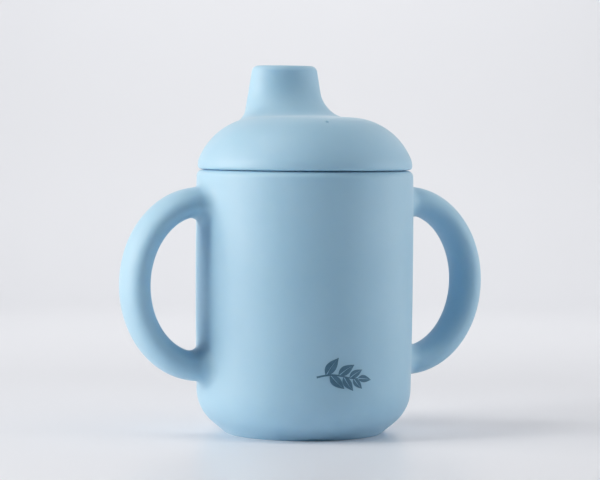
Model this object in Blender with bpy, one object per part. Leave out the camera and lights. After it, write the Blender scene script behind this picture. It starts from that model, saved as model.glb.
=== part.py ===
"""Silicone sippy cup in two mouldings: a beaker with two loop handles, and a domed lid with a spout.

Lengths are in metres and +Z is up. The origin is at the middle of the base, the handles stand out
along X, the spout is on the +Y side of the lid and the printed front of the cup faces -Y.
"""

from math import asin, atan, cos, degrees, hypot, pi, radians, sin, sqrt, tan

import bmesh
import bpy
from mathutils import Vector

# Beaker, outside: its wall bulges a little, widest at BELLY_HEIGHT
BODY_RADIUS = 0.0351
BELLY_HEIGHT = 0.057
WALL_ROUND = 2.0
CUP_HEIGHT = 0.0846
RIM_ROUND = 0.0020
CORNER_ROUND = 0.0135
CORNER_START = 0.0140
CORNER_SWEEP = 50.5
FOOT_SLOPE = 90.0 - CORNER_SWEEP
FOOT_EDGE = 0.0005
FOOT_RING_INNER = 0.0170
FOOT_RECESS = 0.0008

# Beaker, inside
MOUTH_RADIUS = 0.0320
MOUTH_DEPTH = 0.0150
INNER_LOWER_RADIUS = 0.0315
INNER_CORNER = 0.0100
FLOOR_HEIGHT = 0.0042
MOUTH_EDGE = 0.0006

# Handles: an oval section swept round half an ellipse
HANDLE_CENTRE = (0.03575, 0.04834)
HANDLE_REACH = 0.02155
HANDLE_HALF_HEIGHT = 0.02622
HANDLE_THICK = 0.00935
HANDLE_WIDTH = 0.0150
HANDLE_ROOT_X = 0.0336
HANDLE_FILLET = 0.0040

# Lid
LID_GAP = 0.0002
LID_RADIUS = 0.0346
LID_EDGE = 0.0011
LID_SIDE_DRAFT = 0.00011
LID_WALL = 0.0026
SHOULDER_ROUND = 0.02154
SHOULDER_CENTRE = (0.01425, 0.08012)
CROWN_ROUND = 0.300

# Plug skirt under the lid
SKIRT_RADIUS = 0.0312
SKIRT_WALL = 0.0024
SKIRT_DEPTH = 0.0096
SKIRT_LEAD = 0.0006
BEAD_REACH = 0.0005
BEAD_ROUND = 0.0009
BEAD_SWEEP = 60.0
BEAD_DROPS = (0.0028, 0.0062)

# Spout: an oval tube that narrows upwards
SPOUT_Y = 0.01889
SPOUT_TOP = 0.11855
SPOUT_TOP_HALF_WIDTH = 0.01077
SPOUT_TAPER = 0.168
SPOUT_OVAL = 0.75
SPOUT_EDGE = 0.0018
SPOUT_FILLET = 0.0124
SPOUT_WALL = 0.0025
BORE_FILLET = 0.0090
FILLET_SINK = 0.0008
SIP_HOLE_RADIUS = 0.0011
SIP_HOLE_SPACING = 0.0052
VENT_RADIUS = 0.0006
VENT_PLACE = (-0.0013, -0.0222)

# Facets
TURN_STEPS = 60
OVAL_STEPS = 28
SWEEP_STEPS = 26
SWEEP_CROWDING = 0.7
ARC_STEP_DEGREES = 15.0
WALL_STEPS = 5
CROWN_STEPS = 4
BEAD_STEPS = 4
SPOUT_EDGE_STEPS = 4
FILLET_STEPS = 6
HOLE_SIDES = 12
SOLVE_STEPS = 24
SLOPE_PROBE = 0.0001
SHARP_DEGREES = 40
WELD_DISTANCE = 0.00001

SILICONE_BLUE = (0.33, 0.54, 0.67, 1.0)
SILICONE_ROUGHNESS = 0.55


def clear_scene():
    for old in list(bpy.data.objects):
        bpy.data.objects.remove(old)


def silicone(name):
    material = bpy.data.materials.new(name)
    material.use_nodes = True
    shader = material.node_tree.nodes["Principled BSDF"]
    shader.inputs["Base Color"].default_value = SILICONE_BLUE
    shader.inputs["Roughness"].default_value = SILICONE_ROUGHNESS
    return material


def arc(centre, radius, start, end, steps=0):
    """Points (radius, height) round an arc. Angles are in degrees, from outwards towards up."""
    steps = steps or max(2, round(abs(end - start) / ARC_STEP_DEGREES))
    angles = [radians(start + (end - start) * i / steps) for i in range(steps + 1)]
    return [(centre[0] + radius * cos(a), centre[1] + radius * sin(a)) for a in angles]


def add_object(name, mesh):
    body = bpy.data.objects.new(name, mesh)
    bpy.context.scene.collection.objects.link(body)
    return body


def turned(name, outline):
    """A solid of revolution from an open outline of (radius, height), both ends on the axis."""
    mesh = bpy.data.meshes.new(name)
    edges = [(i, i + 1) for i in range(len(outline) - 1)]
    mesh.from_pydata([(r, 0.0, z) for r, z in outline], edges, [])
    body = add_object(name, mesh)
    screw = body.modifiers.new("Turn", "SCREW")
    screw.steps = screw.render_steps = TURN_STEPS
    screw.use_merge_vertices = True
    screw.merge_threshold = WELD_DISTANCE
    return body


def lofted(name, rings):
    """A closed solid through rings that have the same number of points, with flat ends."""
    mesh = bmesh.new()
    loops = [[mesh.verts.new(point) for point in ring] for ring in rings]
    for lower, upper in zip(loops, loops[1:]):
        for i in range(len(lower)):
            j = (i + 1) % len(lower)
            mesh.faces.new((lower[i], lower[j], upper[j], upper[i]))
    mesh.faces.new(list(reversed(loops[0])))
    mesh.faces.new(loops[-1])
    bmesh.ops.recalc_face_normals(mesh, faces=mesh.faces)
    data = bpy.data.meshes.new(name)
    mesh.to_mesh(data)
    mesh.free()
    return add_object(name, data)


def drill(name, radius, low, top):
    """An upright round cutter from a point up to a height."""
    x, y, bottom = low
    turns = [2 * pi * i / HOLE_SIDES for i in range(HOLE_SIDES)]
    rim = [(x + radius * cos(a), y + radius * sin(a)) for a in turns]
    return lofted(name, [[(*point, height) for point in rim] for height in (bottom, top)])


def combine(body, tool, operation):
    """Joins tool to body or cuts it away, and hides the tool."""
    boolean = body.modifiers.new(tool.name, "BOOLEAN")
    boolean.operation = operation
    boolean.solver = "EXACT"
    boolean.object = tool
    tool.hide_render = True
    tool.display_type = "WIRE"
    tool.parent = body


def finish(body, material):
    body.data.materials.append(material)
    body.data.shade_smooth()
    body.data.set_sharp_from_angle(angle=radians(SHARP_DEGREES))


def wall_lean(height):
    """How far the outer wall faces upwards at a height, in degrees."""
    return degrees(asin((height - BELLY_HEIGHT) / WALL_ROUND))


def wall_radius(height):
    """The radius of the outer wall at a height between its corner and its rim."""
    return BODY_RADIUS - WALL_ROUND * (1 - cos(radians(wall_lean(height))))


def beaker_outline():
    """Up the inside of the beaker, over its rim, down the outside and in under the foot."""
    inner_corner = (INNER_LOWER_RADIUS - INNER_CORNER, FLOOR_HEIGHT + INNER_CORNER)
    mouth = (MOUTH_RADIUS + MOUTH_EDGE, CUP_HEIGHT - MOUTH_EDGE)
    rim_height = CUP_HEIGHT - RIM_ROUND
    rim = (wall_radius(rim_height) - RIM_ROUND, rim_height)
    corner = (wall_radius(CORNER_START) - CORNER_ROUND, CORNER_START)
    belly = (BODY_RADIUS - WALL_ROUND, BELLY_HEIGHT)
    wall = arc(belly, WALL_ROUND, wall_lean(rim_height), wall_lean(CORNER_START), WALL_STEPS)
    outline = [(0.0, FLOOR_HEIGHT)]
    outline += arc(inner_corner, INNER_CORNER, -90, 0)
    outline += [(MOUTH_RADIUS, CUP_HEIGHT - MOUTH_DEPTH)]
    outline += arc(mouth, MOUTH_EDGE, 180, 90)
    outline += arc(rim, RIM_ROUND, 90, 0)
    outline += wall[1:-1]
    outline += arc(corner, CORNER_ROUND, 0, -CORNER_SWEEP)
    end_r, end_z = outline[-1]
    foot_r = end_r - (end_z - FOOT_EDGE) / tan(radians(FOOT_SLOPE))
    outline += [(foot_r, FOOT_EDGE), (foot_r - FOOT_EDGE, 0.0), (FOOT_RING_INNER, 0.0)]
    outline += [(FOOT_RING_INNER - FOOT_RECESS, FOOT_RECESS), (0.0, FOOT_RECESS)]
    return outline


def handle_root_spread(x):
    """How much wider the handle is at this distance from the cup's axis, where it meets the wall."""
    clear = x - BODY_RADIUS
    if clear >= HANDLE_FILLET:
        return 0.0
    drop = HANDLE_FILLET - max(clear, 0.0)
    return HANDLE_FILLET - sqrt(HANDLE_FILLET**2 - drop**2)


def handle_rings():
    """Oval rings round the handle on the +X side, from its lower root to its upper one."""
    lean = asin((HANDLE_ROOT_X - HANDLE_CENTRE[0]) / HANDLE_REACH)
    rings = []
    for i in range(SWEEP_STEPS + 1):
        share = i / SWEEP_STEPS
        share -= SWEEP_CROWDING * sin(2 * pi * share) / (2 * pi)
        turn = -pi / 2 + lean + (pi - 2 * lean) * share
        centre_x = HANDLE_CENTRE[0] + HANDLE_REACH * cos(turn)
        centre_z = HANDLE_CENTRE[1] + HANDLE_HALF_HEIGHT * sin(turn)
        out_x, out_z = cos(turn) / HANDLE_REACH, sin(turn) / HANDLE_HALF_HEIGHT
        length = sqrt(out_x**2 + out_z**2)
        out_x, out_z = out_x / length, out_z / length
        spread = handle_root_spread(centre_x)
        half_thick = HANDLE_THICK / 2 + spread
        half_width = HANDLE_WIDTH / 2 + spread
        ring = []
        for k in range(OVAL_STEPS):
            a = 2 * pi * k / OVAL_STEPS
            outward = half_thick * cos(a)
            ring.append((centre_x + outward * out_x, half_width * sin(a), centre_z + outward * out_z))
        rings.append(ring)
    return rings


def make_cup():
    cup = turned("cup", beaker_outline())
    right = handle_rings()
    left = [[(-x, y, z) for x, y, z in ring] for ring in right]
    combine(cup, lofted("handle_right_form", right), "UNION")
    combine(cup, lofted("handle_left_form", left), "UNION")
    finish(cup, silicone("cup_silicone"))


def crown_centre():
    """The height on the axis of the crown arc's centre, for it to run smoothly into the shoulder."""
    apart = CROWN_ROUND - SHOULDER_ROUND
    return SHOULDER_CENTRE[1] - sqrt(apart**2 - SHOULDER_CENTRE[0] ** 2)


def dome_height(radius, inset=0.0):
    """The height of the dome at a distance from the axis, on a surface inset from its outer one."""
    if radius < SHOULDER_CENTRE[0] * (CROWN_ROUND - inset) / (CROWN_ROUND - SHOULDER_ROUND):
        return crown_centre() + sqrt((CROWN_ROUND - inset) ** 2 - radius**2)
    shoulder = SHOULDER_ROUND - inset
    out = min(radius - SHOULDER_CENTRE[0], shoulder)
    return SHOULDER_CENTRE[1] + sqrt(shoulder**2 - out**2)


def dome_outline(inset, last_radius):
    """From the middle of the dome out to a radius on its shoulder, inset from the outer surface."""
    join = 90 - degrees(asin(SHOULDER_CENTRE[0] / (CROWN_ROUND - SHOULDER_ROUND)))
    shoulder = SHOULDER_ROUND - inset
    last = 90 - degrees(asin((last_radius - SHOULDER_CENTRE[0]) / shoulder))
    crown = arc((0.0, crown_centre()), CROWN_ROUND - inset, 90, join, CROWN_STEPS)
    return [(0.0, crown[0][1])] + crown[1:-1] + arc(SHOULDER_CENTRE, shoulder, join, last)


def lid_outline():
    """Down the outside of the dome, round its edge, and down the plug skirt to a flat bottom."""
    seat = CUP_HEIGHT + LID_GAP
    edge = (LID_RADIUS - LID_EDGE, seat + LID_EDGE)
    outline = dome_outline(0.0, LID_RADIUS - LID_SIDE_DRAFT)
    outline += arc(edge, LID_EDGE, 0, -90)
    outline += [(SKIRT_RADIUS, seat)]
    for drop in BEAD_DROPS:
        bead = (SKIRT_RADIUS + BEAD_REACH - BEAD_ROUND, CUP_HEIGHT - drop)
        outline += arc(bead, BEAD_ROUND, BEAD_SWEEP, -BEAD_SWEEP, BEAD_STEPS)
    bottom = CUP_HEIGHT - SKIRT_DEPTH
    outline += [(SKIRT_RADIUS, bottom + SKIRT_LEAD), (SKIRT_RADIUS - SKIRT_LEAD, bottom), (0.0, bottom)]
    return outline


def cavity_outline():
    """The hollow under the dome and inside the skirt, run on past the skirt's lower end."""
    radius = SKIRT_RADIUS - SKIRT_WALL
    below = CUP_HEIGHT - 2 * SKIRT_DEPTH
    return dome_outline(LID_WALL, radius) + [(radius, below), (0.0, below)]


def spout_size(height, inset=0.0):
    """The half width and half depth of the spout's oval at a height."""
    half_width = SPOUT_TOP_HALF_WIDTH + SPOUT_TAPER * (SPOUT_TOP - height)
    return half_width - inset, half_width * SPOUT_OVAL - inset


def spout_point(turn, height, inset):
    """The point on the spout's oval at a turn round its axis."""
    half_width, half_depth = spout_size(height, inset)
    return Vector((half_width * cos(turn), SPOUT_Y + half_depth * sin(turn), height))


def oval(height, inset):
    """A level oval ring on the spout's axis."""
    return [spout_point(2 * pi * i / OVAL_STEPS, height, inset) for i in range(OVAL_STEPS)]


def spout_foot(turn, inset, radius):
    """Points on the round fillet from the spout's wall to the dome, in the upright plane at a turn."""
    knee = spout_point(turn, SPOUT_TOP, inset)
    for _ in range(SOLVE_STEPS):
        knee = spout_point(turn, dome_height(knee.xy.length, inset), inset)
    half_width, half_depth = spout_size(knee.z, inset)
    out = Vector((cos(turn) / half_width, sin(turn) / half_depth)).normalized()
    lean = atan(SPOUT_TAPER * (cos(turn) * out.x + SPOUT_OVAL * sin(turn) * out.y))

    def ball(along):
        """The middle, from the knee, of a ball that rests on the dome at a distance along it."""
        height = dome_height((knee.xy + out * along).length, inset)
        beyond = dome_height((knee.xy + out * (along + SLOPE_PROBE)).length, inset)
        slope = (beyond - height) / SLOPE_PROBE
        length = hypot(1.0, slope)
        return along - radius * slope / length, height - knee.z + radius / length, atan(slope)

    side = knee.xy.dot(out)
    furthest = LID_RADIUS - inset - LID_EDGE / 2
    near, far = 0.0, sqrt(side**2 - knee.xy.length_squared + furthest**2) - side
    for _ in range(SOLVE_STEPS):
        middle = (near + far) / 2
        across, up, _ = ball(middle)
        if across * cos(lean) + up * sin(lean) < radius:
            near = middle
        else:
            far = middle
    across, up, slope = ball(near)
    start, end = degrees(pi + lean), degrees(1.5 * pi + slope)
    points = []
    for along, rise in arc((across, up), radius, start, end, FILLET_STEPS):
        spot = knee.xy + out * along
        points.append(Vector((spot.x, spot.y, knee.z + rise)))
    return points


def foot_rings(inset, radius):
    """Rings of the fillet from its outer edge, sunk a little into the dome, up to the spout's wall."""
    feet = [spout_foot(2 * pi * i / OVAL_STEPS, inset, radius) for i in range(OVAL_STEPS)]
    rings = [[foot[k] for foot in feet] for k in range(FILLET_STEPS, -1, -1)]
    rings[0] = [point - Vector((0.0, 0.0, FILLET_SINK)) for point in rings[0]]
    return rings


def spout_rings():
    """The outside of the spout, from inside the dome up to its flat top."""
    feet = foot_rings(0.0, SPOUT_FILLET)
    rings = [[point - Vector((0.0, 0.0, LID_WALL)) for point in feet[0]]] + feet
    for out, up in arc((0.0, SPOUT_TOP - SPOUT_EDGE), SPOUT_EDGE, 0, 90, SPOUT_EDGE_STEPS):
        rings.append(oval(up, SPOUT_EDGE - out))
    return rings


def spout_bore_rings():
    """The inside of the spout, from the hollow of the dome up to the wall that holds the sip holes."""
    feet = foot_rings(SPOUT_WALL, BORE_FILLET)
    below = [[point - Vector((0.0, 0.0, LID_WALL)) for point in feet[0]]]
    return below + feet + [oval(SPOUT_TOP - SPOUT_WALL, SPOUT_WALL)]


def make_lid():
    lid = turned("lid", lid_outline())
    combine(lid, lofted("spout_form", spout_rings()), "UNION")
    combine(lid, turned("dome_hollow", cavity_outline()), "DIFFERENCE")
    combine(lid, lofted("spout_bore", spout_bore_rings()), "DIFFERENCE")
    for i, side in enumerate((-1, 0, 1)):
        low = (side * SIP_HOLE_SPACING, SPOUT_Y, SPOUT_TOP - 2 * SPOUT_WALL)
        hole = drill(f"sip_hole_{i}", SIP_HOLE_RADIUS, low, SPOUT_TOP + SPOUT_WALL)
        combine(lid, hole, "DIFFERENCE")
    vent_height = dome_height(hypot(*VENT_PLACE))
    low = (*VENT_PLACE, vent_height - 2 * LID_WALL)
    combine(lid, drill("vent", VENT_RADIUS, low, vent_height + LID_WALL), "DIFFERENCE")
    finish(lid, silicone("lid_silicone"))


clear_scene()
make_cup()
make_lid()
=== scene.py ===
"""Looks of the silicone sippy cup: the two mouldings as fine smooth meshes, their print, and a studio."""

from math import asin, atan, atan2, ceil, cos, degrees, hypot, pi, radians, sin, sqrt, tan

import bmesh
import bpy
import numpy as np
from mathutils import Matrix, Vector


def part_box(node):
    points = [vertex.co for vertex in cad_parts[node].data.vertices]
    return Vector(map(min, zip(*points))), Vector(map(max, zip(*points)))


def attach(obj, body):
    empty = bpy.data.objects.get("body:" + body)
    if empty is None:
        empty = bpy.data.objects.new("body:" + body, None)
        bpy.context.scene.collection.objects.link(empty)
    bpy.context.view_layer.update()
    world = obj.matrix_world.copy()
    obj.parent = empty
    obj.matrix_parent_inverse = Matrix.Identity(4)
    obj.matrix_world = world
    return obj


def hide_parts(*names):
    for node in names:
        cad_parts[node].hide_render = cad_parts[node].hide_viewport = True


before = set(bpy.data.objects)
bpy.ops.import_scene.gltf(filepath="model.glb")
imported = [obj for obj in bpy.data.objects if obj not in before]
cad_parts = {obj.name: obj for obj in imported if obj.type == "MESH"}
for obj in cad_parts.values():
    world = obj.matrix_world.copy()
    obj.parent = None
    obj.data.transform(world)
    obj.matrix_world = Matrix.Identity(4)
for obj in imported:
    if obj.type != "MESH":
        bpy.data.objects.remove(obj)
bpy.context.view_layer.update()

# Sizes that come from the frame
_, CUP_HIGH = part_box("cup")
LID_LOW, LID_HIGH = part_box("lid")
BODY_RADIUS = CUP_HIGH.y
CUP_HEIGHT = CUP_HIGH.z
LID_RADIUS = LID_HIGH.y
SPOUT_TOP = LID_HIGH.z
SKIRT_BOTTOM = LID_LOW.z

# Beaker: its wall bulges a little, widest at BELLY_HEIGHT
BELLY_HEIGHT = 0.057
WALL_ROUND = 2.0
RIM_ROUND = 0.0020
MOUTH_RADIUS = 0.0320
MOUTH_EDGE = 0.0006
MOUTH_DEPTH = 0.0150
CORNER_ROUND = 0.0135
CORNER_START = 0.0140
CORNER_SWEEP = 50.5
FOOT_SLOPE = 90.0 - CORNER_SWEEP
FOOT_EDGE = 0.0006
FOOT_RING_INNER = 0.0170
FOOT_RECESS = 0.0008
INNER_LOWER_RADIUS = 0.0315
INNER_CORNER = 0.0100
FLOOR_HEIGHT = 0.0042

# Handles: an oval section that follows half an ellipse
HANDLE_THICK = 0.00935
HANDLE_WIDTH = 0.0150
HANDLE_OFFSET = 0.00065
HANDLE_CENTRE_X = BODY_RADIUS + HANDLE_OFFSET
HANDLE_CENTRE_Z = 0.04834
HANDLE_REACH = CUP_HIGH.x - HANDLE_THICK / 2 - HANDLE_CENTRE_X
HANDLE_HALF_HEIGHT = 0.02622
OUTER_FILLET = 0.0026
INNER_FILLET = 0.0050

# Lid
LID_GAP = 0.0002
LID_SEAT = CUP_HEIGHT + LID_GAP
LID_EDGE = 0.0011
LID_SIDE_DRAFT = 0.00011
LID_WALL = 0.0026
SHOULDER_ROUND = 0.02154
SHOULDER_CENTRE = (0.01425, 0.08012)
CROWN_ROUND = 0.300
SKIRT_RADIUS = 0.0312
SKIRT_WALL = 0.0024
SKIRT_EDGE = 0.0007
SKIRT_ROOT = 0.0004
BEAD_REACH = 0.0005
BEAD_ROUND = 0.0009
BEAD_SWEEP = 60.0
BEAD_DROPS = (0.0028, 0.0062)

# Spout
SPOUT_Y = 0.01889
SPOUT_TOP_HALF_WIDTH = 0.01077
SPOUT_TAPER = 0.168
SPOUT_OVAL = 0.75
SPOUT_EDGE = 0.0018
SPOUT_FILLET = 0.0124
SPOUT_WALL = 0.0025
SPOUT_DISH = 0.0004
DISH_FLAT = 0.5
BORE_FILLET = 0.0090
BORE_EDGE = 0.0015
SIP_HOLE_RADIUS = 0.0011
SIP_HOLE_SPACING = 0.0052
VENT_RADIUS = 0.0006
VENT_PLACE = (-0.0013, -0.0222)
HOLE_LIP = 0.00025
LIP_SWEEP = 60.0

# Printed mark on the front: a leafy sprig
MARK_HEIGHT = 0.0210
MARK_RAISE = 0.00004
MARK_TIP = 0.00003
STEM_START = -0.0090
STEM_END = 0.0046
STEM_WAVE = 0.0007
STEM_WAVES = 0.75
STEM_THICK = (0.00060, 0.00030)
MIDRIB_GAP = 0.00034
LEAF_FULLNESS = 0.82
LEAF_BEND = 0.16
# Each leaf: place along the stem, heading from it in degrees, length, width
LEAVES = (
    (0.22, 56.0, 0.0066, 0.0031),
    (0.32, -54.0, 0.0063, 0.0029),
    (0.52, 52.0, 0.0060, 0.0028),
    (0.64, -50.0, 0.0055, 0.0025),
    (0.79, 50.0, 0.0049, 0.0022),
    (0.89, -50.0, 0.0044, 0.0020),
    (1.0, 2.0, 0.0048, 0.0021),
)

# Mesh density, before one level of subdivision: degrees and lengths between rows, then numbers of cells
ARC_TURN = 15.0
ARC_ROW = 0.0016
FLAT_ROW = 0.0038
WALL_ROW = 0.0024
ROOT_ROW = 0.00112
SPOUT_ROW = 0.0018
CUP_COLUMNS = 144
ROOT_COLUMNS = 9
OUTER_ROWS = 7
INNER_ROWS = 10
ROWS_BESIDE = ((OUTER_ROWS, INNER_ROWS), (INNER_ROWS, OUTER_ROWS))
HANDLE_STEPS = 40
LID_COLUMNS = 96
DOME_RINGS = 22
HOLLOW_RINGS = 12
FOOT_STEPS = 10
HOLE_SIDES = 48
LEAF_STEPS = 24
STEM_STEPS = 60
MARK_CELLS = 4

# Where rings lie on short runs, as shares of the way
FILLET_SHARES = (0.0, 0.16, 0.34, 0.5, 0.66, 0.84, 1.0)
RECESS_SHARES = (0.0, 0.25, 0.75, 1.0)
DISH_SHARES = (0.35, 0.6, 0.78, 0.9)
CEILING_SHARES = (0.8, 0.55, 0.3)

# Solving for where shapes meet
SOLVE_STEPS = 32
SLOPE_PROBE = 0.0001
DOME_SAMPLES = 200
TINY = 1e-9
# Turns along a handle, near its upper root, that lie inside and outside the wall
TURNS_INSIDE_AND_OUT = (0.6 * pi, 0.3 * pi)

# Edges that bend more than this many degrees are shaded sharp
CUP_SHARP = 60
LID_SHARP = 35
MARK_SHARP = 40


def arc(centre, radius, start, end, steps=0):
    """Points (radius, height) round an arc. Angles are in degrees, from outwards towards up."""
    sweep = abs(end - start)
    steps = steps or max(ceil(sweep / ARC_TURN), ceil(radius * radians(sweep) / ARC_ROW))
    angles = [radians(start + (end - start) * i / steps) for i in range(steps + 1)]
    return [(centre[0] + radius * cos(a), centre[1] + radius * sin(a)) for a in angles]


def between(start, end, row=FLAT_ROW):
    """Points that divide the straight line between two points into rows, without the two ends."""
    steps = max(round(hypot(end[0] - start[0], end[1] - start[1]) / row), 1)
    shares = [i / steps for i in range(1, steps)]
    return [(start[0] + (end[0] - start[0]) * s, start[1] + (end[1] - start[1]) * s) for s in shares]


def smooth_step(share):
    """Runs from 0 to 1 as share does, level at both ends, and stays there beyond them."""
    share = min(max(share, 0.0), 1.0)
    return share**2 * (3 - 2 * share)


def curve_point(start, knee, end, share):
    """A point of the smooth curve from start to end that leaves and arrives pointing at knee.

    The curve is a circular arc when the knee is as far from the start as from the end.
    """
    turn = (knee - start).angle(end - knee)
    pull = 2 * cos(turn / 2) * (1 - share) * share
    near, far = (1 - share) ** 2, share**2
    return (start * near + knee * pull + end * far) / (near + pull + far)


def bridge(mesh, loops):
    """Faces between each loop of vertices and the next."""
    for first, second in zip(loops, loops[1:]):
        for i in range(len(first)):
            j = (i + 1) % len(first)
            mesh.faces.new((first[i], first[j], second[j], second[i]))


def fan(mesh, loop, centre):
    """Closes a loop of vertices with triangles round a middle vertex."""
    middle = mesh.verts.new(centre)
    for i in range(len(loop)):
        mesh.faces.new((loop[i], loop[(i + 1) % len(loop)], middle))


def new_piece(name, mesh):
    """Turns a bmesh into an object, with its faces pointing out."""
    bmesh.ops.recalc_face_normals(mesh, faces=mesh.faces)
    data = bpy.data.meshes.new(name)
    mesh.to_mesh(data)
    mesh.free()
    piece = bpy.data.objects.new(name, data)
    bpy.context.scene.collection.objects.link(piece)
    return piece


def subdivide(piece, levels=1):
    modifier = piece.modifiers.new("Smooth", "SUBSURF")
    modifier.levels = modifier.render_levels = levels


def settle(piece, sharp_degrees):
    """Applies the modifiers, then shades the piece smooth but for its sharp edges."""
    bpy.context.view_layer.update()
    graph = bpy.context.evaluated_depsgraph_get()
    data = bpy.data.meshes.new_from_object(piece.evaluated_get(graph), depsgraph=graph)
    piece.modifiers.clear()
    piece.data = data
    data.shade_smooth()
    data.set_sharp_from_angle(angle=radians(sharp_degrees))


# ---------------------------------------------------------------- beaker


def wall_lean(height):
    """How far the beaker's outer wall faces upwards at a height, in degrees."""
    return degrees(asin((height - BELLY_HEIGHT) / WALL_ROUND))


def wall_radius(height):
    """The radius of the beaker's outer wall at a height between its corner and its rim."""
    return BODY_RADIUS - WALL_ROUND * (1 - cos(radians(wall_lean(height))))


def on_wall(across, height, side):
    """The point of the outer wall at a distance across from the handles' plane, along the wall."""
    radius = wall_radius(height)
    turn = across / radius
    return Vector((side * radius * cos(turn), radius * sin(turn), height))


def root_heights():
    """The heights of the upper and lower handle roots."""
    return [HANDLE_CENTRE_Z + HANDLE_HALF_HEIGHT, HANDLE_CENTRE_Z - HANDLE_HALF_HEIGHT]


def beaker_rings():
    """The beaker's rings as (radius, height), and the rings at the middle of each handle root.

    They run from the middle of the inner floor, over the rim and down to the underside.
    """
    inner_corner = (INNER_LOWER_RADIUS - INNER_CORNER, FLOOR_HEIGHT + INNER_CORNER)
    mouth = (MOUTH_RADIUS + MOUTH_EDGE, CUP_HEIGHT - MOUTH_EDGE)
    rim_height = CUP_HEIGHT - RIM_ROUND
    rim = (wall_radius(rim_height) - RIM_ROUND, rim_height)
    corner = (wall_radius(CORNER_START) - CORNER_ROUND, CORNER_START)
    rings = between((0.0, FLOOR_HEIGHT), (inner_corner[0], FLOOR_HEIGHT))
    rings += arc(inner_corner, INNER_CORNER, -90, 0)
    below_mouth = (MOUTH_RADIUS, CUP_HEIGHT - MOUTH_DEPTH)
    rings += between(rings[-1], below_mouth) + [below_mouth]
    rings += between(below_mouth, (MOUTH_RADIUS, mouth[1]))
    rings += arc(mouth, MOUTH_EDGE, 180, 90) + arc(rim, RIM_ROUND, 90, 0)

    root_rows = []
    lowest = rings[-1][1]
    for root, (above, below) in zip(root_heights(), ROWS_BESIDE):
        top, bottom = root + above * ROOT_ROW, root - below * ROOT_ROW
        rings += [(wall_radius(z), z) for _, z in between((0.0, lowest), (0.0, top), WALL_ROW)]
        root_rows.append(len(rings) + above)
        rings += [(wall_radius(z), z) for z in np.linspace(top, bottom, above + below + 1)]
        lowest = bottom
    rings += arc(corner, CORNER_ROUND, 0, -CORNER_SWEEP)
    end_r, end_z = rings[-1]
    reach = FOOT_EDGE * tan(radians(FOOT_SLOPE / 2))
    edge = (end_r - end_z / tan(radians(FOOT_SLOPE)) - reach, FOOT_EDGE)
    foot = arc(edge, FOOT_EDGE, FOOT_SLOPE - 90, -90)
    rings += between(rings[-1], foot[0], ARC_ROW) + foot
    rings += between(foot[-1], (FOOT_RING_INNER, 0.0))
    for share in RECESS_SHARES:
        rings.append((FOOT_RING_INNER - FOOT_RECESS * share, FOOT_RECESS * smooth_step(share)))
    return rings + between(rings[-1], (0.0, FOOT_RECESS)), root_rows


def handle_centre(turn):
    """The middle of the handle's section and its outward direction, in the plane of the handles."""
    out = Vector((cos(turn) / HANDLE_REACH, 0.0, sin(turn) / HANDLE_HALF_HEIGHT)).normalized()
    x = HANDLE_CENTRE_X + HANDLE_REACH * cos(turn)
    return Vector((x, 0.0, HANDLE_CENTRE_Z + HANDLE_HALF_HEIGHT * sin(turn))), out


def handle_point(turn, around):
    """A point on the surface of the handle on the +X side."""
    centre, out = handle_centre(turn)
    y = HANDLE_WIDTH / 2 * sin(around)
    return centre + out * (HANDLE_THICK / 2 * cos(around)) + Vector((0.0, y, 0.0))


def turn_at_wall(around, upper):
    """The turn at which a line along the handle meets the wall, near its upper or lower root."""
    inside, outside = (turn if upper else -turn for turn in TURNS_INSIDE_AND_OUT)
    for _ in range(SOLVE_STEPS):
        middle = (inside + outside) / 2
        point = handle_point(middle, around)
        if sqrt(point.x**2 + point.y**2) < wall_radius(point.z):
            inside = middle
        else:
            outside = middle
    return (inside + outside) / 2


def root_fillet(around):
    """The size of the fillet at a root, from its outer side (0) to the side that faces the hole (pi)."""
    return OUTER_FILLET + (INNER_FILLET - OUTER_FILLET) * (1 - cos(around)) / 2


def root_spots():
    """The block of wall round a root, as steps (across, outwards) from its middle, once round.

    Each comes with its angle round the handle's section, even within each quarter turn.
    """
    corners = ((0, OUTER_ROWS), (ROOT_COLUMNS, 0), (0, -INNER_ROWS), (-ROOT_COLUMNS, 0), (0, OUTER_ROWS))
    spots = []
    for quarter, (start, end) in enumerate(zip(corners, corners[1:])):
        corner = (end[0], start[1]) if start[0] == 0 else (start[0], end[1])
        path = steps_to(start, corner) + steps_to(corner, end)
        spots += [(k, h, pi / 2 * (quarter + i / len(path))) for i, (k, h) in enumerate(path)]
    return spots


def steps_to(start, end):
    """The steps on a level or upright line from start towards end, without end."""
    count = abs(end[0] - start[0]) + abs(end[1] - start[1])
    across, out = (end[0] - start[0]) // count, (end[1] - start[1]) // count
    return [(start[0] + across * i, start[1] + out * i) for i in range(count)]


def root_curve(around, upper):
    """The fillet from the wall onto the handle at one angle round it, and the turn where it ends."""
    up = 1 if upper else -1
    reach = root_fillet(around)
    turn = turn_at_wall(around, upper)
    speed = (handle_point(turn + SLOPE_PROBE, around) - handle_point(turn, around)).length / SLOPE_PROBE
    turn -= up * reach / speed
    clear = handle_point(turn, around)
    back = (handle_point(turn + up * SLOPE_PROBE, around) - clear).normalized()
    length = reach
    for _ in range(SOLVE_STEPS):
        knee = clear + back * length
        length += knee.xy.length - wall_radius(knee.z)
    away = Vector((sin(around) / HANDLE_WIDTH, up * cos(around) / HANDLE_THICK)).normalized() * length
    across = atan2(knee.y, knee.x) * wall_radius(knee.z) + away.x
    foot = on_wall(across, knee.z + away.y, 1)
    return [curve_point(foot, knee, clear, share) for share in FILLET_SHARES], turn


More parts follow.
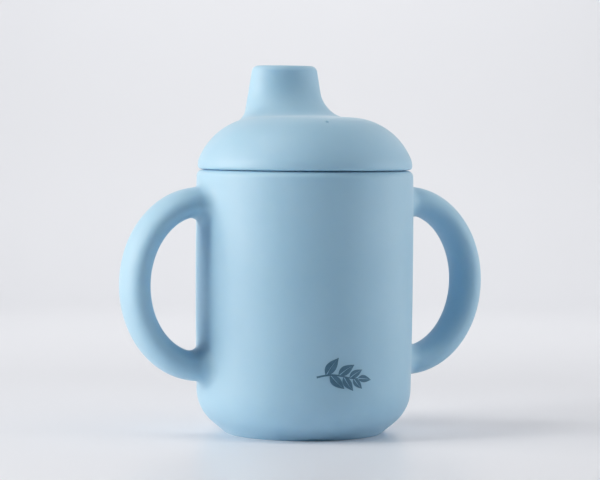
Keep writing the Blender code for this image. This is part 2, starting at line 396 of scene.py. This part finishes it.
def root_rings(block, arounds, upper, side):
    """Rings from just outside the fillet's foot onto the handle, and the turn where each line ends."""
    curves, turns = [], []
    for corner, around in zip(block, arounds):
        curve, turn = root_curve(around, upper)
        corner_turn, foot_turn = atan2(corner.co.y, side * corner.co.x), atan2(curve[0].y, curve[0].x)
        height = (corner.co.z + curve[0].z) / 2
        curves.append([on_wall((corner_turn + foot_turn) / 2 * wall_radius(height), height, 1)] + curve)
        turns.append(turn)
    return [list(ring) for ring in zip(*curves)], turns


def make_handle(mesh, grid, root_rows, side):
    """Joins one handle to the two blocks left open in the beaker's wall."""
    mirror = Matrix.Diagonal((side, 1.0, 1.0))
    spots = root_spots()
    arounds = [around for _, _, around in spots]
    ends, root_loops = [], []
    for upper, row in zip((True, False), root_rows):
        up = 1 if upper else -1
        block = []
        for k, h, _ in spots:
            column = k % CUP_COLUMNS if side > 0 else (CUP_COLUMNS // 2 - k) % CUP_COLUMNS
            block.append(grid[row - up * h][column])
        rings, turns = root_rings(block, arounds, upper, side)
        ends.append(turns)
        root_loops.append([block] + [[mesh.verts.new(mirror @ p) for p in ring] for ring in rings])
    tube = []
    for i in range(1, HANDLE_STEPS):
        share = i / HANDLE_STEPS
        points = [handle_point(a + (b - a) * share, around) for a, b, around in zip(*ends, arounds)]
        tube.append([mesh.verts.new(mirror @ p) for p in points])
    bridge(mesh, root_loops[0] + tube + root_loops[1][::-1])


def in_root(row, column, root_rows):
    """True for a wall cell, by its lower row and column, that lies inside a handle's block."""
    for middle, (above, below) in zip(root_rows, ROWS_BESIDE):
        if middle - above <= row < middle + below:
            for centre in (0, CUP_COLUMNS // 2):
                if (column - centre + ROOT_COLUMNS) % CUP_COLUMNS < 2 * ROOT_COLUMNS:
                    return True
    return False


def make_cup():
    rings, root_rows = beaker_rings()
    mesh = bmesh.new()
    turns = [2 * pi * j / CUP_COLUMNS for j in range(CUP_COLUMNS)]
    grid = [[mesh.verts.new((r * cos(a), r * sin(a), z)) for a in turns] for r, z in rings]
    for i in range(len(grid) - 1):
        for j in range(CUP_COLUMNS):
            if not in_root(i, j, root_rows):
                k = (j + 1) % CUP_COLUMNS
                mesh.faces.new((grid[i][j], grid[i][k], grid[i + 1][k], grid[i + 1][j]))
    fan(mesh, grid[0], (0.0, 0.0, FLOOR_HEIGHT))
    fan(mesh, grid[-1], (0.0, 0.0, FOOT_RECESS))
    for side in (1, -1):
        make_handle(mesh, grid, root_rows, side)
    bmesh.ops.delete(mesh, geom=[v for v in mesh.verts if not v.link_faces], context="VERTS")
    cup = new_piece("cup_moulding", mesh)
    subdivide(cup)
    settle(cup, CUP_SHARP)
    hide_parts("cup")
    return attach(cup, "cup")


# ---------------------------------------------------------------- lid


class Dome:
    """A surface of revolution through the crown and shoulder arcs, inset from the lid's outer surface."""

    def __init__(self, inset, last_radius):
        apart = CROWN_ROUND - SHOULDER_ROUND
        crown_height = SHOULDER_CENTRE[1] - sqrt(apart**2 - SHOULDER_CENTRE[0] ** 2)
        join = 90 - degrees(asin(SHOULDER_CENTRE[0] / apart))
        shoulder = SHOULDER_ROUND - inset
        last = 90 - degrees(asin((last_radius - SHOULDER_CENTRE[0]) / shoulder))
        outline = arc((0.0, crown_height), CROWN_ROUND - inset, 90, join, DOME_SAMPLES)
        outline += arc(SHOULDER_CENTRE, shoulder, join, last, DOME_SAMPLES)[1:]
        self.radii = np.array([max(r, 0.0) for r, _ in outline])
        self.heights = np.array([z for _, z in outline])
        steps = np.hypot(np.diff(self.radii), np.diff(self.heights))
        self.lengths = np.concatenate([[0.0], np.cumsum(steps)])

    def height(self, radius):
        """The height at a distance from the axis."""
        return float(np.interp(radius, self.radii, self.heights))

    def unrolled(self, point):
        """Where a point lies when the dome is spread flat from its middle."""
        radius = sqrt(point[0] ** 2 + point[1] ** 2)
        length = float(np.interp(radius, self.radii, self.lengths))
        return Vector((point[0], point[1])) * (length / max(radius, TINY))

    def rolled(self, spot):
        """The point of the dome for a place on the flat spread."""
        length = spot.length
        radius = float(np.interp(length, self.lengths, self.radii))
        height = float(np.interp(length, self.lengths, self.heights))
        flat = spot * (radius / max(length, TINY))
        return Vector((flat.x, flat.y, height))


def circle(radius, height):
    turns = [2 * pi * i / LID_COLUMNS for i in range(LID_COLUMNS)]
    return [Vector((radius * cos(a), radius * sin(a), height)) for a in turns]


def spout_size(height, inset=0.0):
    """The half width and half depth of the spout's oval at a height."""
    half_width = SPOUT_TOP_HALF_WIDTH + SPOUT_TAPER * (SPOUT_TOP - height)
    return half_width - inset, half_width * SPOUT_OVAL - inset


def spout_point(around, height, inset=0.0):
    half_width, half_depth = spout_size(height, inset)
    return Vector((half_width * cos(around), SPOUT_Y + half_depth * sin(around), height))


def spout_ring(height, inset=0.0):
    return [spout_point(2 * pi * i / LID_COLUMNS, height, inset) for i in range(LID_COLUMNS)]


def spout_foot(dome, around, inset, radius):
    """Points on the round fillet from the spout's wall to the dome, in the upright plane at one place."""
    knee = spout_point(around, SPOUT_TOP, inset)
    for _ in range(SOLVE_STEPS):
        knee = spout_point(around, dome.height(knee.xy.length), inset)
    half_width, half_depth = spout_size(knee.z, inset)
    out = Vector((cos(around) / half_width, sin(around) / half_depth)).normalized()
    lean = atan(SPOUT_TAPER * (cos(around) * out.x + SPOUT_OVAL * sin(around) * out.y))

    def ball(along):
        """The middle, from the knee, of a ball that rests on the dome at a distance along it."""
        height = dome.height((knee.xy + out * along).length)
        beyond = dome.height((knee.xy + out * (along + SLOPE_PROBE)).length)
        slope = (beyond - height) / SLOPE_PROBE
        length = hypot(1.0, slope)
        return along - radius * slope / length, height - knee.z + radius / length, atan(slope)

    side = knee.xy.dot(out)
    near, far = 0.0, sqrt(side**2 - knee.xy.length_squared + dome.radii[-1] ** 2) - side
    for _ in range(SOLVE_STEPS):
        middle = (near + far) / 2
        across, up, _ = ball(middle)
        if across * cos(lean) + up * sin(lean) < radius:
            near = middle
        else:
            far = middle
    across, up, slope = ball(near)
    start, end = degrees(pi + lean), degrees(1.5 * pi + slope)
    points = []
    for along, rise in arc((across, up), radius, start, end, FOOT_STEPS):
        spot = knee.xy + out * along
        points.append(Vector((spot.x, spot.y, knee.z + rise)))
    return points


def shell_rings(dome, last_radius, inset, fillet, dome_rings):
    """Rings from the spout's wall, round the foot of the spout and across the dome to a circle."""
    arounds = [2 * pi * i / LID_COLUMNS for i in range(LID_COLUMNS)]
    feet = [spout_foot(dome, around, inset, fillet) for around in arounds]
    rings = [list(ring) for ring in zip(*feet)]
    inner = [dome.unrolled(foot[-1]) for foot in feet]
    outer = [dome.unrolled((last_radius * cos(a), last_radius * sin(a))) for a in arounds]
    for i in range(1, dome_rings + 1):
        share = i / dome_rings
        rings.append([dome.rolled(a.lerp(b, share)) for a, b in zip(inner, outer)])
    return rings


def spout_top_rings():
    """The spout's slightly dished top and the round edge down to its wall, from the middle out."""
    rings = []
    middle = Vector((0.0, SPOUT_Y, SPOUT_TOP))
    for share in DISH_SHARES:
        sink = SPOUT_DISH * (1 - smooth_step((share - DISH_FLAT) / (1 - DISH_FLAT)))
        sunk = middle - Vector((0.0, 0.0, sink))
        rings.append([sunk + (p - middle) * share for p in spout_ring(SPOUT_TOP, SPOUT_EDGE)])
    for out, up in arc((0.0, SPOUT_TOP - SPOUT_EDGE), SPOUT_EDGE, 90, 0):
        rings.append(spout_ring(up, SPOUT_EDGE - out))
    return rings


def joined_walls(first, last):
    """Rings on the straight lines between two rings, without the two ends."""
    steps = round((first[0] - last[0]).length / SPOUT_ROW)
    return [[a.lerp(b, i / steps) for a, b in zip(first, last)] for i in range(1, steps)]


def skirt_rings():
    """From the lid's lower edge, in under the flange, down the plug skirt and up its inside."""
    edge = (LID_RADIUS - LID_EDGE, LID_SEAT + LID_EDGE)
    outline = arc(edge, LID_EDGE, 0, -90)
    outline += arc((SKIRT_RADIUS + SKIRT_ROOT, LID_SEAT - SKIRT_ROOT), SKIRT_ROOT, 90, 180)
    for drop in BEAD_DROPS:
        bead = (SKIRT_RADIUS + BEAD_REACH - BEAD_ROUND, CUP_HEIGHT - drop)
        outline += arc(bead, BEAD_ROUND, BEAD_SWEEP, -BEAD_SWEEP)
    inner = SKIRT_RADIUS - SKIRT_WALL
    outline += arc((SKIRT_RADIUS - SKIRT_EDGE, SKIRT_BOTTOM + SKIRT_EDGE), SKIRT_EDGE, 0, -90)
    outline += arc((inner + SKIRT_EDGE, SKIRT_BOTTOM + SKIRT_EDGE), SKIRT_EDGE, -90, -180)
    return [circle(r, z) for r, z in outline]


def lid_rings():
    """All rings of the lid, from the middle of the spout's top to the inner end of its bore."""
    outer = Dome(0.0, LID_RADIUS - LID_SIDE_DRAFT)
    top = spout_top_rings()
    shell = shell_rings(outer, outer.radii[-1], 0.0, SPOUT_FILLET, DOME_RINGS)
    rings = top + joined_walls(top[-1], shell[0]) + shell + skirt_rings()

    inner_radius = SKIRT_RADIUS - SKIRT_WALL
    inner = Dome(LID_WALL, inner_radius)
    hollow = shell_rings(inner, inner_radius, SPOUT_WALL, BORE_FILLET, HOLLOW_RINGS)[::-1]
    rings += joined_walls(rings[-1], hollow[0]) + hollow
    ceiling = SPOUT_TOP - SPOUT_WALL
    edge = arc((0.0, ceiling - BORE_EDGE), BORE_EDGE, 0, 90)
    bore_end = [spout_ring(up, SPOUT_WALL + BORE_EDGE - out) for out, up in edge]
    rings += joined_walls(hollow[-1], bore_end[0]) + bore_end
    middle = Vector((0.0, SPOUT_Y, ceiling))
    for share in CEILING_SHARES:
        rings.append([middle + (p - middle) * share for p in bore_end[-1]])
    return rings


def hole_cutter(name, place, radius, top, bottom):
    """An upright cutter that widens in a small round lip where it leaves the upper surface."""
    outline = [(radius, bottom), (radius, top - HOLE_LIP)]
    outline += arc((radius + HOLE_LIP, top - HOLE_LIP), HOLE_LIP, 180, 180 - LIP_SWEEP)[1:]
    outline += [(outline[-1][0] + HOLE_LIP, top + 2 * HOLE_LIP)]
    mesh = bmesh.new()
    turns = [2 * pi * i / HOLE_SIDES for i in range(HOLE_SIDES)]
    rings = [[(place[0] + r * cos(a), place[1] + r * sin(a), z) for a in turns] for r, z in outline]
    loops = [[mesh.verts.new(point) for point in ring] for ring in rings]
    bridge(mesh, loops)
    mesh.faces.new(loops[0])
    mesh.faces.new(loops[-1])
    return new_piece(name, mesh)


def cut(piece, cutter):
    boolean = piece.modifiers.new(cutter.name, "BOOLEAN")
    boolean.operation = "DIFFERENCE"
    boolean.solver = "EXACT"
    boolean.object = cutter


def make_lid():
    rings = lid_rings()
    mesh = bmesh.new()
    loops = [[mesh.verts.new(point) for point in ring] for ring in rings]
    bridge(mesh, loops)
    fan(mesh, loops[0], (0.0, SPOUT_Y, SPOUT_TOP - SPOUT_DISH))
    fan(mesh, loops[-1], (0.0, SPOUT_Y, SPOUT_TOP - SPOUT_WALL))
    lid = new_piece("lid_moulding", mesh)
    subdivide(lid)
    cutters = []
    dished_top = SPOUT_TOP - SPOUT_DISH
    for i in (-1, 0, 1):
        place = (i * SIP_HOLE_SPACING, SPOUT_Y)
        bottom = SPOUT_TOP - 2 * SPOUT_WALL
        cutters.append(hole_cutter(f"sip_cutter_{i + 1}", place, SIP_HOLE_RADIUS, dished_top, bottom))
    vent_top = Dome(0.0, LID_RADIUS - LID_EDGE).height(hypot(*VENT_PLACE))
    vent_bottom = vent_top - 2 * LID_WALL
    cutters.append(hole_cutter("vent_cutter", VENT_PLACE, VENT_RADIUS, vent_top, vent_bottom))
    for cutter in cutters:
        cut(lid, cutter)
    settle(lid, LID_SHARP)
    for cutter in cutters:
        bpy.data.objects.remove(cutter)
    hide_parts("lid")
    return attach(lid, "lid")


# ---------------------------------------------------------------- printed mark


def on_front(spot, raised):
    """The point over the wall for a flat spot (across, height), on the printed front."""
    height = MARK_HEIGHT + spot.y
    radius = wall_radius(height)
    turn = spot.x / radius
    return Vector(((radius + raised) * sin(turn), -(radius + raised) * cos(turn), height))


def stem_spot(share):
    """The flat spot at a share of the stem's length."""
    across = STEM_START + (STEM_END - STEM_START) * share
    return Vector((across, STEM_WAVE * sin(2 * pi * STEM_WAVES * share)))


def stem_heading(share):
    """The direction of the stem at a share of its length, in radians."""
    step = stem_spot(share + SLOPE_PROBE) - stem_spot(share)
    return atan2(step.y, step.x)


def stem_sides():
    """The stem as pairs of flat spots, one on each side of it."""
    sides = []
    for i in range(STEM_STEPS + 1):
        share = i / STEM_STEPS
        heading = stem_heading(share)
        thick = STEM_THICK[0] + (STEM_THICK[1] - STEM_THICK[0]) * share
        out = Vector((-sin(heading), cos(heading))) * (thick / 2)
        sides.append((stem_spot(share) - out, stem_spot(share) + out))
    return sides


def leaf_half_sides(place, turn, length, width, half):
    """One half of a leaf as pairs of flat spots, from the gap along its midrib out to its edge."""
    heading = stem_heading(place) + radians(turn)
    along = Vector((cos(heading), sin(heading)))
    out = Vector((-along.y, along.x))
    bend = -LEAF_BEND * length * (1 if turn > 0 else -1)
    sides = []
    for i in range(LEAF_STEPS + 1):
        share = i / LEAF_STEPS
        middle = stem_spot(place) + along * (length * share) + out * (bend * share**2)
        gap = MIDRIB_GAP / 2 * (1 - share)
        reach = gap + max(width / 2 * sin(pi * share**LEAF_FULLNESS), MARK_TIP)
        sides.append((middle + out * (half * gap), middle + out * (half * reach)))
    return sides


def add_print(mesh, sides):
    """A thin closed slab of ink between pairs of flat spots, sunk a little into the wall."""
    layers = []
    for raised in (MARK_RAISE, -MARK_RAISE):
        rows = []
        for a, b in sides:
            spots = [a.lerp(b, j / MARK_CELLS) for j in range(MARK_CELLS + 1)]
            rows.append([mesh.verts.new(on_front(spot, raised)) for spot in spots])
        layers.append(rows)
    top, bottom = layers
    for rows in layers:
        for i in range(len(sides) - 1):
            for j in range(MARK_CELLS):
                mesh.faces.new((rows[i][j], rows[i][j + 1], rows[i + 1][j + 1], rows[i + 1][j]))
    for i in range(len(sides) - 1):
        for j in (0, MARK_CELLS):
            mesh.faces.new((top[i][j], top[i + 1][j], bottom[i + 1][j], bottom[i][j]))
    for i in (0, len(sides) - 1):
        for j in range(MARK_CELLS):
            mesh.faces.new((top[i][j], top[i][j + 1], bottom[i][j + 1], bottom[i][j]))


def make_mark():
    mesh = bmesh.new()
    add_print(mesh, stem_sides())
    for place, turn, length, width in LEAVES:
        for half in (1, -1):
            add_print(mesh, leaf_half_sides(place, turn, length, width, half))
    mark = new_piece("print_mark", mesh)
    settle(mark, MARK_SHARP)
    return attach(mark, "cup")


# ---------------------------------------------------------------- materials

SILICONE_PALE = (0.376, 0.582, 0.742, 1.0)
SILICONE_DEEP = (0.355, 0.562, 0.722, 1.0)
SILICONE_BLOOM = (0.50, 0.68, 0.79, 1.0)
INK_DARK = (0.074, 0.168, 0.248, 1.0)
INK_THIN = (0.104, 0.220, 0.312, 1.0)
TABLE_COLOUR = (0.81, 0.82, 0.86, 1.0)
SWELL_DEPTH = 0.00002
GRAIN_DEPTH = 0.000004
GRAIN_SCALE = 3200.0
# Noise seldom leaves this range
NOISE_LOW, NOISE_HIGH = 0.3, 0.7
# The colour sockets of a Mix node
MIX_FIRST, MIX_SECOND, MIX_RESULT = 6, 7, 2


def add_node(tree, kind, inputs, **settings):
    """A node with its settings, and its inputs set to values or linked to other nodes' outputs."""
    node = tree.nodes.new(kind)
    for name, value in settings.items():
        setattr(node, name, value)
    for name, value in inputs.items():
        if isinstance(value, bpy.types.NodeSocket):
            tree.links.new(value, node.inputs[name])
        else:
            node.inputs[name].default_value = value
    return node


def noise(tree, scale, detail, low, high):
    """Noise fixed to the piece, stretched from low to high. Scale is in features for each metre."""
    spots = add_node(tree, "ShaderNodeTexCoord", {}).outputs["Object"]
    sampled = add_node(tree, "ShaderNodeTexNoise", {"Vector": spots, "Scale": scale, "Detail": detail})
    return add_node(tree, "ShaderNodeMapRange", {
        "Value": sampled.outputs["Fac"],
        "From Min": NOISE_LOW,
        "From Max": NOISE_HIGH,
        "To Min": low,
        "To Max": high,
    }).outputs["Result"]


def mixed(tree, share, first, second):
    """The colour between two colours, or outputs, at a share."""
    mix = add_node(tree, "ShaderNodeMix", {"Factor": share}, data_type="RGBA")
    for socket, value in zip((mix.inputs[MIX_FIRST], mix.inputs[MIX_SECOND]), (first, second)):
        if isinstance(value, bpy.types.NodeSocket):
            tree.links.new(value, socket)
        else:
            socket.default_value = value
    return mix.outputs[MIX_RESULT]


def bump(tree, height, distance, under=None):
    inputs = {"Height": height, "Distance": distance, "Strength": 1.0}
    if under is not None:
        inputs["Normal"] = under
    return add_node(tree, "ShaderNodeBump", inputs).outputs["Normal"]


def new_material(name):
    """A material with a bare Principled shader."""
    material = bpy.data.materials.new(name)
    material.use_nodes = True
    return material, material.node_tree, material.node_tree.nodes["Principled BSDF"]


def set_shader(tree, shader, inputs):
    for name, value in inputs.items():
        if isinstance(value, bpy.types.NodeSocket):
            tree.links.new(value, shader.inputs[name])
        else:
            shader.inputs[name].default_value = value


def silicone_material(name, seed):
    """Matt, silky silicone: hardly mottled, with a faint bloom and a fine blasted-mould grain.

    The seed makes the two mouldings' patterns differ.
    """
    material, tree, shader = new_material(name)
    mottle = noise(tree, scale=38.0 + seed, detail=3.0, low=0.0, high=1.0)
    body = mixed(tree, mottle, SILICONE_PALE, SILICONE_DEEP)
    bloom = noise(tree, scale=260.0 + seed, detail=4.0, low=0.0, high=0.05)
    swells = noise(tree, scale=120.0 + seed, detail=2.0, low=0.0, high=1.0)
    grain = noise(tree, scale=GRAIN_SCALE, detail=2.0, low=0.0, high=1.0)
    set_shader(tree, shader, {
        "Base Color": mixed(tree, bloom, body, SILICONE_BLOOM),
        "Roughness": noise(tree, scale=70.0 + seed, detail=4.0, low=0.46, high=0.56),
        "IOR": 1.43,
        "Subsurface Weight": 0.35,
        "Subsurface Radius": (0.6, 0.8, 1.0),
        "Subsurface Scale": 0.004,
        "Sheen Weight": 0.18,
        "Sheen Roughness": 0.35,
        "Normal": bump(tree, grain, GRAIN_DEPTH, bump(tree, swells, SWELL_DEPTH)),
    })
    return material


def ink_material():
    """Dark printed ink, a little thinner in places, over the silicone's grain."""
    material, tree, shader = new_material("print_ink")
    thinning = noise(tree, scale=900.0, detail=4.0, low=0.0, high=1.0)
    grain = noise(tree, scale=GRAIN_SCALE, detail=2.0, low=0.0, high=1.0)
    set_shader(tree, shader, {
        "Base Color": mixed(tree, thinning, INK_DARK, INK_THIN),
        "Roughness": noise(tree, scale=400.0, detail=3.0, low=0.42, high=0.55),
        "Normal": bump(tree, grain, GRAIN_DEPTH),
    })
    return material


def table_material():
    """Smooth pale lacquer, with very faint wear in its gloss."""
    material, tree, shader = new_material("pale_table")
    set_shader(tree, shader, {
        "Base Color": TABLE_COLOUR,
        "Roughness": noise(tree, scale=9.0, detail=3.0, low=0.28, high=0.32),
    })
    return material


# ---------------------------------------------------------------- studio

CAMERA_AZIMUTH = -21.54
CAMERA_DISTANCE = 0.7814
CAMERA_HEIGHT = 0.0974
CAMERA_TURN = 0.107
CAMERA_PITCH = 2.595
CAMERA_ROLL = 0.387
CAMERA_LENS = 145.36
SENSOR_WIDTH = 36.0
CAMERA_CLIP = (0.05, 20.0)
STAGE_REACH = 3.0
WALL_DISTANCE = 0.90
COVE_ROUND = 0.35
COVE_STEPS = 16


def make_camera():
    data = bpy.data.cameras.new("camera")
    data.lens = CAMERA_LENS
    data.sensor_width = SENSOR_WIDTH
    data.clip_start, data.clip_end = CAMERA_CLIP
    camera = bpy.data.objects.new("camera", data)
    bpy.context.scene.collection.objects.link(camera)
    side = radians(CAMERA_AZIMUTH)
    facing = radians(CAMERA_AZIMUTH + CAMERA_TURN)
    pitch, roll = radians(CAMERA_PITCH), radians(CAMERA_ROLL)
    level = Vector((-sin(facing), cos(facing), 0.0))
    right = Vector((cos(facing), sin(facing), 0.0))
    ahead = level * cos(pitch) - Vector((0.0, 0.0, sin(pitch)))
    up = Vector((0.0, 0.0, cos(pitch))) + level * sin(pitch)
    right, up = right * cos(roll) + up * sin(roll), up * cos(roll) - right * sin(roll)
    axes = Matrix((right, up, -ahead)).transposed().to_4x4()
    place = (CAMERA_DISTANCE * sin(side), -CAMERA_DISTANCE * cos(side), CAMERA_HEIGHT)
    camera.matrix_world = Matrix.Translation(place) @ axes
    bpy.context.scene.camera = camera


def make_stage():
    """A pale table top that curves up into a pale wall behind."""
    facing = radians(CAMERA_AZIMUTH)
    ahead = Vector((-sin(facing), cos(facing), 0.0))
    right = Vector((cos(facing), sin(facing), 0.0))
    cove = (WALL_DISTANCE - COVE_ROUND, COVE_ROUND)
    outline = [(-STAGE_REACH, 0.0)] + arc(cove, COVE_ROUND, -90, 0, COVE_STEPS)
    outline += [(WALL_DISTANCE, STAGE_REACH)]
    mesh = bmesh.new()
    loops = []
    for across in (-STAGE_REACH, STAGE_REACH):
        places = [ahead * along + right * across + Vector((0.0, 0.0, z)) for along, z in outline]
        loops.append([mesh.verts.new(place) for place in places])
    for i in range(len(outline) - 1):
        mesh.faces.new((loops[0][i], loops[1][i], loops[1][i + 1], loops[0][i + 1]))
    floor = new_piece("floor", mesh)
    floor.data.shade_smooth()
    floor.data.materials.append(table_material())


# Softboxes: bearing to the left of the camera's side and height over the cup, in degrees, width and watts
LIGHTS = {
    "window_low": (75, 10, 0.34, 2.70),
    "window_high": (75, 65, 0.18, 1.04),
    "window_front": (65, 25, 0.18, 1.55),
    "window_back": (95, 25, 0.18, 0.80),
    "window_sill": (95, 8, 0.18, 0.70),
    "ceiling": (-45, 66, 0.40, 0.44),
    "overhead": (0, 88, 0.50, 0.16),
    "room_right": (-75, 10, 0.32, 0.75),
    "room_right_high": (-75, 38, 0.32, 0.66),
    "room_right_back": (-105, 10, 0.32, 1.25),
    "room_back_high": (-135, 38, 0.32, 0.40),
}
LIGHT_DISTANCE = 0.80
LIGHT_AIM = Vector((0.0, 0.0, 0.055))
ROOM_GLOW = 0.106
WASH_PLACE = (0.30, 0.55)
WASH_TILT = 14.0
WASH_SIZE = 0.50
WASH_POWER = 1.85
TONE_CONTRAST = 1.3
TONE_STEPS = (0.02, 0.05, 0.1, 0.2, 0.35, 0.5, 0.75)
# The curve of a view's curve mapping that acts on red, green and blue alike
ALL_COLOURS = 3


def softbox(name, place, facing, width, power):
    """A square light that the camera doesn't see."""
    data = bpy.data.lights.new(name, "AREA")
    data.size = width
    data.energy = power
    light = bpy.data.objects.new(name, data)
    bpy.context.scene.collection.objects.link(light)
    light.location = place
    light.rotation_euler = facing.to_track_quat("-Z", "Y").to_euler()
    light.visible_camera = False


def light_cup(name, bearing, height, width, power):
    """A softbox that faces the cup from a direction."""
    turn, climb = radians(CAMERA_AZIMUTH - bearing), radians(height)
    away = Vector((cos(climb) * sin(turn), -cos(climb) * cos(turn), sin(climb)))
    softbox(name, LIGHT_AIM + away * LIGHT_DISTANCE, -away, width, power)


def wash_wall():
    """A softbox above and behind the cup that brightens the wall."""
    side, tilt = radians(CAMERA_AZIMUTH), radians(WASH_TILT)
    ahead = Vector((-sin(side), cos(side), 0.0))
    back, up = WASH_PLACE
    facing = ahead * cos(tilt) - Vector((0.0, 0.0, sin(tilt)))
    softbox("wall_wash", ahead * back + Vector((0.0, 0.0, up)), facing, WASH_SIZE, WASH_POWER)


def glow():
    """A faint even light from all round."""
    world = bpy.data.worlds.new("room")
    world.use_nodes = True
    shader = world.node_tree.nodes["Background"]
    shader.inputs["Color"].default_value = (1.0, 1.0, 1.0, 1.0)
    shader.inputs["Strength"].default_value = ROOM_GLOW
    bpy.context.scene.world = world


def tone(value):
    """A gentle camera contrast curve that keeps black and white where they are."""
    raised = value**TONE_CONTRAST
    return 2 * raised / (raised + 1)


def set_tone():
    """Gives the picture the camera's contrast. The curve's two ends are there from the start."""
    view = bpy.context.scene.view_settings
    view.view_transform = "Standard"
    view.use_curve_mapping = True
    curve = view.curve_mapping.curves[ALL_COLOURS]
    for value in TONE_STEPS:
        curve.points.new(value, tone(value))
    view.curve_mapping.update()


def make_lights():
    for name, light in LIGHTS.items():
        light_cup(name, *light)
    wash_wall()
    glow()
    set_tone()


make_camera()
cup = make_cup()
lid = make_lid()
mark = make_mark()
cup.data.materials.append(silicone_material("silicone_of_cup", 0.0))
lid.data.materials.append(silicone_material("silicone_of_lid", 3.0))
mark.data.materials.append(ink_material())
make_stage()
make_lights()
